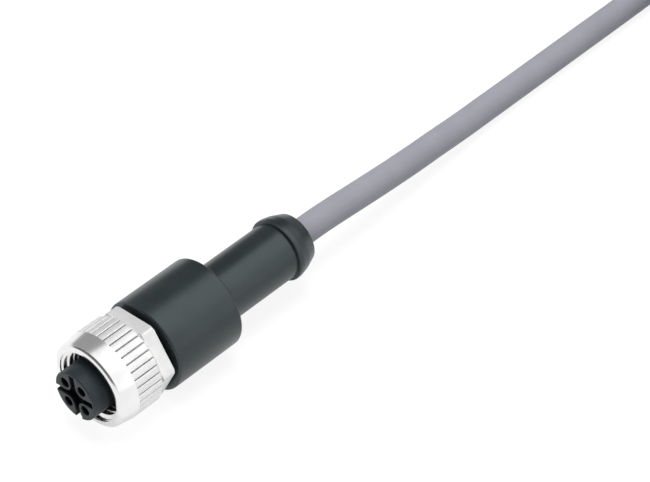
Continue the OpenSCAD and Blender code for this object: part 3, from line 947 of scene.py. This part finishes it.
def thread():
    """The nut's right-handed thread: a ridge with flat crests, which runs out at both ends."""
    inputs = {
        "Pitch": THREAD_PITCH, "Root radius": THREAD_ROOT_R + FINE_EDGE_R, "Crest radius": THREAD_CREST_R,
        "Start": THREAD_START, "End": THREAD_END, "Run-out": THREAD_FADE,
        "Root width": ROOT_WIDTH, "Crest width": CREST_WIDTH,
    }
    growth = Growth("nut_thread", inputs)
    value = growth.value
    steps = round((THREAD_END - THREAD_START) / THREAD_PITCH * THREAD_STEPS)
    grid = {"Size X": 1.0, "Size Y": 1.0, "Vertices X": steps, "Vertices Y": 5}
    strip = growth.node("GeometryNodeMeshGrid", inputs=grid)
    x, y, z = growth.split(growth.node("GeometryNodeInputPosition"))
    along = value("Start") + (value("End") - value("Start")) * (x + 0.5)
    # The ridge has corners 0 and 3 at the root, 1 and 2 at the crest, and 4 closes it on 0
    corner = (y + 0.5) * 4
    crest = (corner - 1.5).maths("ABSOLUTE").maths("LESS_THAN", 1)
    side = (corner - 2.5).maths("ABSOLUTE").maths("LESS_THAN", 1) * 2 - 1
    nearest_end = (along - value("Start")).maths("MINIMUM", value("End") - along)
    height = (nearest_end / value("Run-out")).maths("MINIMUM", 1)
    r = value("Root radius") + (value("Crest radius") - value("Root radius")) * crest * height
    width = value("Root width") + (value("Crest width") - value("Root width")) * crest
    angle = along / value("Pitch") * -tau
    reach = along + side * width * height / 2
    place = growth.joined(r * angle.maths("COSINE"), reach, r * angle.maths("SINE"))
    ridge = growth.node("GeometryNodeSetPosition", inputs={"Geometry": strip, "Position": place})
    return growth.grown("nut_thread", ridge, nickel, weld=True)


def merged(name, parts, material, edge=30):
    """One piece made of several."""
    shape = bmesh.new()
    for part in parts:
        shape.from_mesh(part.data)
        bpy.data.objects.remove(part)
    mesh = bpy.data.meshes.new(name)
    shape.to_mesh(mesh)
    shape.free()
    return settled(name, mesh, material, edge)


nut_body = lathed("nut_body", nut_profile, nickel, NUT_SIDES, hexagonal)
nut = merged("knurled_nut", [nut_body, ribs(), thread()], nickel)
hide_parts("coupling_nut")
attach(nut, "nut")

# ---- Inner mould ----
# The first shot of plastic, moulded round the carrier's rear, the crimped contacts and the jacket's end. It
# holds them in place while the grip is moulded over it.

dressed("inner_mould", moulded("inner_mould_black", BLACK, WORN_BLACK, rough=0.5))

# ---- Grip ----
# The second shot: satin black plastic moulded over everything in one smooth turned shape, with a wide body
# for the fingers, a slim neck and a domed collar where the cable comes out.

GRIP_SIDES = 180
GRIP_BLACK = colour(0.015, 0.022, 0.024)
GRIP_GREY = colour(0.019, 0.026, 0.028)
COOL_TINT = colour(0.84, 0.97, 1.0)
GRIP_FRONT_EDGE_R = 0.4 * MM
GRIP_EDGE_R = 0.35 * MM
NECK_R = 4.84 * MM
NECK_FILLET_R = 1.0 * MM
NECK_REAR_R = 0.05 * MM
GRIP_LEN = 13.3 * MM
COLLAR_LEN = 4.3 * MM
COLLAR_BAND_LEN = 0.9 * MM
COLLAR_EDGE_R = 0.3 * MM
COLLAR_TOP_R = 5.38 * MM
COLLAR_SLOPE_R = 5.08 * MM
COLLAR_SLOPE_LEN = 1.37 * MM
# Soft change of slope on the collar, and the edges of its end face round the cable
COLLAR_BEND_R = 0.5 * MM
END_FACE_R = 4.3 * MM
END_EDGE_R = 0.2 * MM
CABLE_EDGE_R = 0.08 * MM
# Room inside for the carrier's shank, the inner mould, its tail and the cable
SHANK_ROOM_R = 4.89 * MM
MOULD_ROOM_R = 5.22 * MM
TAIL_ROOM_R = 3.32 * MM
CABLE_ROOM_R = 2.32 * MM
MOULD_BODY_LEN = 5.5 * MM
MOULD_TAPER_LEN = 1.6 * MM

grip_low, grip_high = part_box("grip")
mould_low, mould_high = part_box("inner_mould")
grip_rear = grip_low.y + GRIP_LEN
collar_front = grip_high.y - COLLAR_LEN
band_rear = collar_front + COLLAR_BAND_LEN
body_rear = mould_low.y + MOULD_BODY_LEN
grip_profile = [
    (SHANK_ROOM_R, grip_low.y, 0), (grip_high.x, grip_low.y, GRIP_FRONT_EDGE_R),
    (grip_high.x, grip_rear, GRIP_EDGE_R), (NECK_R, grip_rear, NECK_FILLET_R),
    (NECK_R, collar_front, NECK_REAR_R), (COLLAR_TOP_R, collar_front, COLLAR_EDGE_R),
    (COLLAR_TOP_R, band_rear, COLLAR_BEND_R), (COLLAR_SLOPE_R, band_rear + COLLAR_SLOPE_LEN, COLLAR_BEND_R),
    (END_FACE_R, grip_high.y, END_EDGE_R), (CABLE_ROOM_R, grip_high.y, CABLE_EDGE_R),
    (CABLE_ROOM_R, mould_high.y, 0), (TAIL_ROOM_R, mould_high.y, 0),
    (TAIL_ROOM_R, body_rear + MOULD_TAPER_LEN, 0), (MOULD_ROOM_R, body_rear, 0),
    (MOULD_ROOM_R, mould_low.y, 0), (SHANK_ROOM_R, mould_low.y, 0),
]

grip_black = moulded(
    "grip_black", GRIP_BLACK, GRIP_GREY, rough=0.3, grain=6.0, depth=0.006, gloss=0.6, tint=COOL_TINT
)
grip = lathed("moulded_grip", grip_profile, grip_black, GRIP_SIDES)
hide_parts("grip")
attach(grip, "connector")

# ---- Floor and light ----
# A plain white floor and one wide soft lamp over the connector, in a white room. The gloss of the plastic and
# the nickel mirrors the room's fittings: a dark card, a soft box and the darker walls in front and behind.

FLOOR_REACH = 3.0
PAPER = colour(0.7, 0.7, 0.7)
GLOW_STRENGTH = 1.25
# Share of the glow in what each kind of ray sees of the floor. Other rays see lit paper.
GLOW_SHARES = {"Is Camera Ray": 0.7, "Is Glossy Ray": 0.45, "Is Transmission Ray": 0.45}
ROOM_STRENGTH = 0.42
# Each fitting: the way to it, the half angles where it is whole and where it ends, and what it adds or takes
CARD_WAY, CARD_ANGLES, CARD_DEPTH = (-0.7, 0.44, 0.57), (31.5, 37), 0.68
BOX_WAY, BOX_ANGLES, BOX_GAIN = (0.29, 0.54, 0.79), (14, 38), 0.75
SIDE_WAY, SIDE_ANGLES, SIDE_GAIN = (0.83, 0.53, 0.1), (5, 35), 0.3
# Each wall: the cosines to its middle where it begins and where it is whole, and what it takes. The card is
# darker still towards the back.
FRONT_WALL, FRONT_DEPTH = (0.3, 0.5), 0.85
BACK_WALL, BACK_DEPTH = (0.66, 0.84), 0.6
CARD_REAR, CARD_REAR_DEPTH = (0.47, 0.55), 0.2
LAMP_PLACE = (-0.03, 0.08, 0.65)
LAMP_SIZE = 0.4
LAMP_POWER = 3.1

floor_mesh = bpy.data.meshes.new("floor")
quarters = ((-1, -1), (1, -1), (1, 1), (-1, 1))
floor_corners = [(x * FLOOR_REACH, y * FLOOR_REACH, hank_low.z) for x, y in quarters]
floor_mesh.from_pydata(floor_corners, [], [(0, 1, 2, 3)])
floor = bpy.data.objects.new("floor", floor_mesh)
scene.collection.objects.link(floor)


def seen_share(graph, shares):
    """The sum of those shares over the kinds of ray that the point is seen by."""
    rays = graph.node("ShaderNodeLightPath").socket.node
    return sum(Link(graph, rays.outputs[kind]) * share for kind, share in shares.items())


floor_finish = Finish("white_floor")
paper = floor_finish.node("ShaderNodeBsdfDiffuse", inputs={"Color": PAPER})
glow = floor_finish.node("ShaderNodeEmission", inputs={"Color": WHITE, "Strength": GLOW_STRENGTH})
seen = seen_share(floor_finish, GLOW_SHARES)
shown = floor_finish.node("ShaderNodeMixShader", inputs={0: seen, 1: paper, 2: glow})
floor_finish.node("ShaderNodeOutputMaterial", inputs={"Surface": shown})
floor_mesh.materials.append(floor_finish.material)

world = bpy.data.worlds.new("room")
world.use_nodes = True
scene.world = world
room = Graph(world.node_tree)
way = room.node("ShaderNodeTexCoord", output="Generated")


def shaded(value, low, high):
    """0 where a value is below low and 1 above high."""
    inputs = {"Value": value, "From Min": low, "From Max": high}
    return room.node("ShaderNodeMapRange", {"interpolation_type": "SMOOTHSTEP"}, inputs)


def toward(way_to):
    """How near the room's walls are to that direction, as a cosine."""
    settings = {"operation": "DOT_PRODUCT"}
    return room.node("ShaderNodeVectorMath", settings, {0: way, 1: Vector(way_to).normalized()}, "Value")


def spot(way_to, whole, end):
    """1 where the walls are within the first angle of that direction and 0 outside the second."""
    return shaded(toward(way_to), cos(radians(end)), cos(radians(whole)))


back = toward((0, 1, 0))
card = spot(CARD_WAY, *CARD_ANGLES) * (CARD_DEPTH + CARD_REAR_DEPTH * shaded(back, *CARD_REAR))
front_wall = shaded(back * -1, *FRONT_WALL) * FRONT_DEPTH
back_wall = shaded(back, *BACK_WALL) * BACK_DEPTH
softbox = spot(BOX_WAY, *BOX_ANGLES) * BOX_GAIN + spot(SIDE_WAY, *SIDE_ANGLES) * SIDE_GAIN
fittings = softbox - card.maths("MAXIMUM", back_wall) - front_wall
bright = 1 + fittings * (1 - seen_share(room, {"Is Camera Ray": 1}))
diffuse_light = room.node("ShaderNodeBackground", inputs={"Color": WHITE, "Strength": ROOM_STRENGTH})
seen_light = room.node("ShaderNodeBackground", inputs={"Color": WHITE, "Strength": bright})
mirrored = seen_share(room, dict.fromkeys(GLOW_SHARES, 1))
both = room.node("ShaderNodeMixShader", inputs={0: mirrored, 1: diffuse_light, 2: seen_light})
room.node("ShaderNodeOutputWorld", inputs={"Surface": both})

lamp_light = bpy.data.lights.new("key_lamp", "AREA")
lamp_light.size, lamp_light.energy = LAMP_SIZE, LAMP_POWER
lamp = bpy.data.objects.new("key_lamp", lamp_light)
lamp.location = LAMP_PLACE
lamp.rotation_euler = (-Vector(LAMP_PLACE)).to_track_quat("-Z", "Y").to_euler()
lamp.visible_glossy = False
scene.collection.objects.link(lamp)
